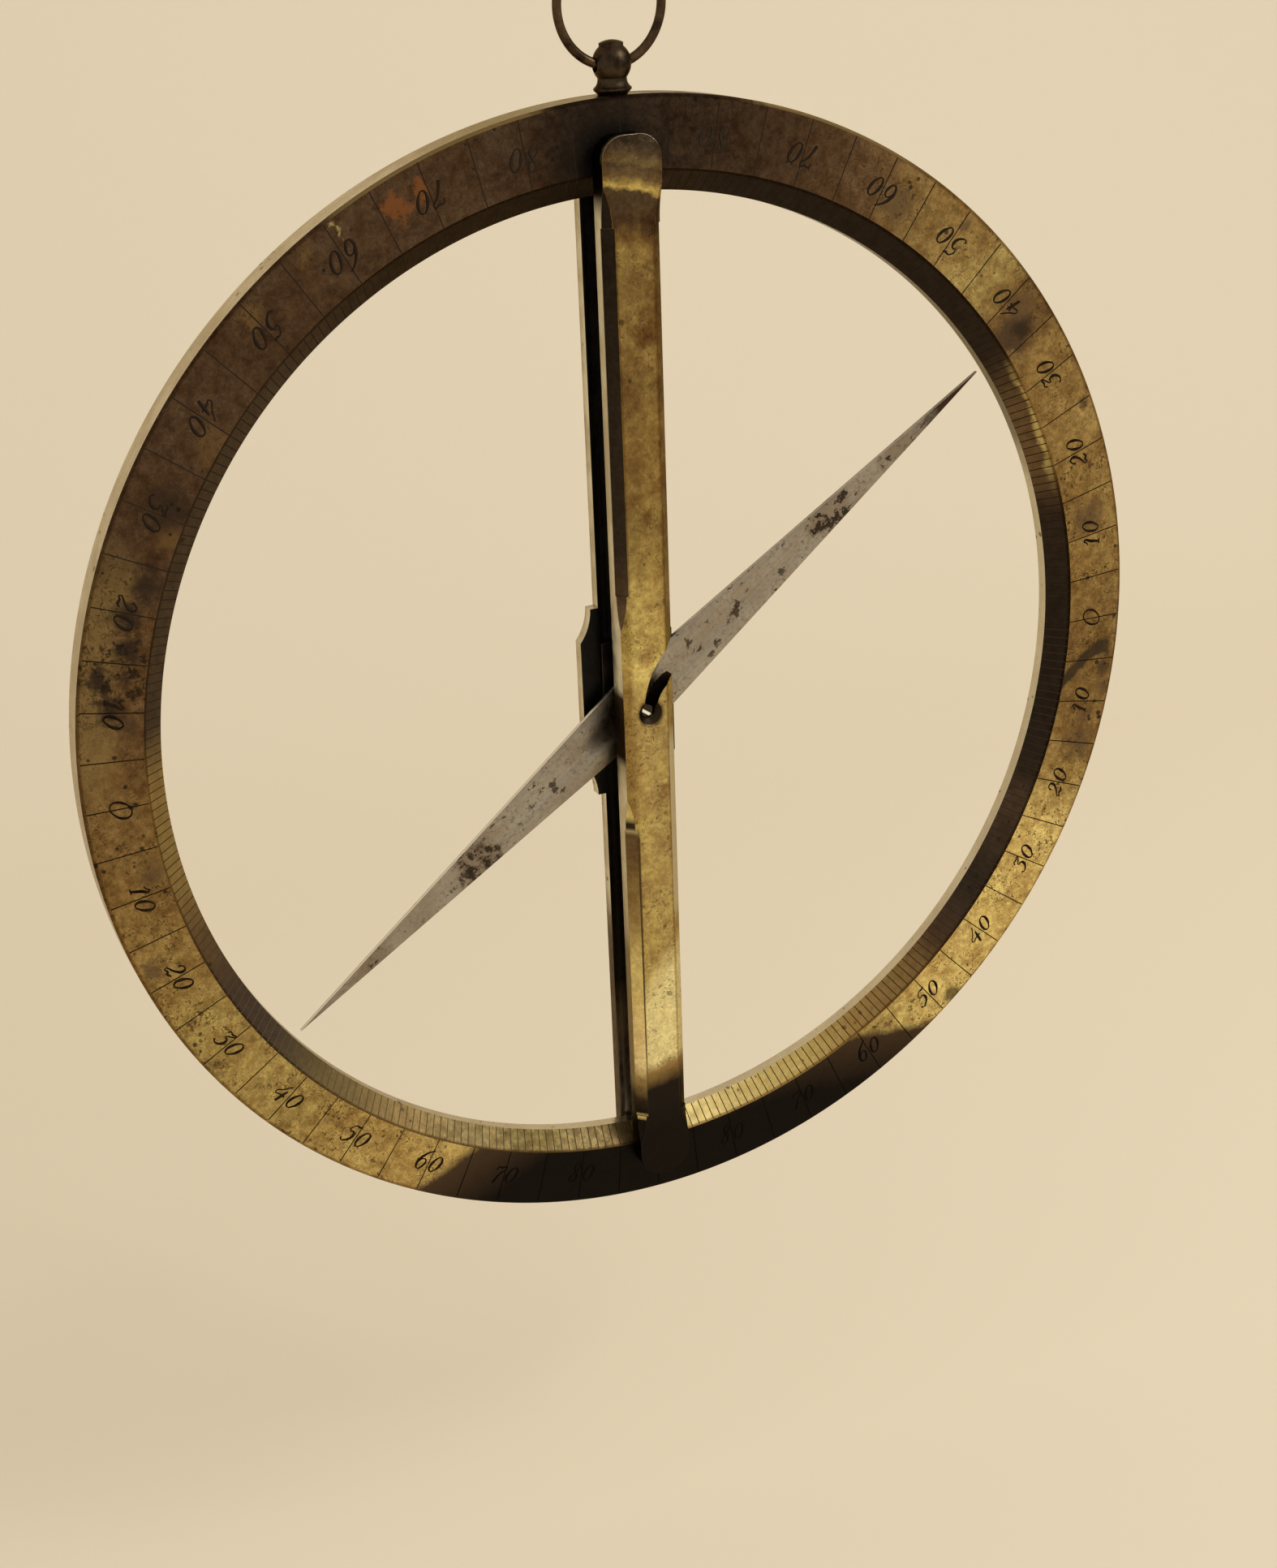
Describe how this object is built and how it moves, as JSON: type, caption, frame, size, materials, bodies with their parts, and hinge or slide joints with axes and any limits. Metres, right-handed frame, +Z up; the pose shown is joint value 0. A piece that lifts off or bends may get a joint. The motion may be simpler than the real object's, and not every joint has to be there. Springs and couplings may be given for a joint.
{
  "type": "dip circle",
  "caption": "Hand-held dip circle: a graduated brass ring hung from a small bow, crossed by two upright bars that carry a pivoted lozenge needle.",
  "frame": {"origin": "the point inside the top of the bow where a finger or hook carries the instrument", "axes": "+Z up, -Y the way the numbered face looks, +Y to the back, +X to the right of the face; the needle turns about Y"},
  "size_m": [0.18, 0.0105, 0.2002],
  "materials": {
    "limb_brass": "satin, aged brown",
    "bar_brass": "satin, aged",
    "plate_brass": "satin, aged",
    "screw_brass": "satin",
    "needle_steel": "dull grey with rust specks",
    "arbor_steel": "turned",
    "collar_brass": "turned",
    "pendant_brass": "turned, dark",
    "bow_brass": "drawn wire, dark"
  },
  "bodies": {
    "bow": {"bow": "bow_brass"},
    "frame": {"limb": "limb_brass", "front_bar": "bar_brass", "rear_bar": "bar_brass", "pivot_plate": "plate_brass", "bar_screws": "screw_brass", "steady_pins": "screw_brass", "pendant": "pendant_brass"},
    "needle": {"needle_blade": "needle_steel", "needle_arbor": "arbor_steel", "needle_collar": "collar_brass"}
  },
  "joints": [
    {"name": "bow_hinge", "type": "hinge", "parent": "bow", "child": "frame", "pos_m": [0, 0, -0.0149], "axis": [1, 0, 0], "range_deg": [-130, 130]},
    {"name": "needle_pivot", "type": "hinge", "parent": "frame", "child": "needle", "pos_m": [0, 0, -0.1089], "axis": [0, 1, 0], "continuous": true}
  ]
}
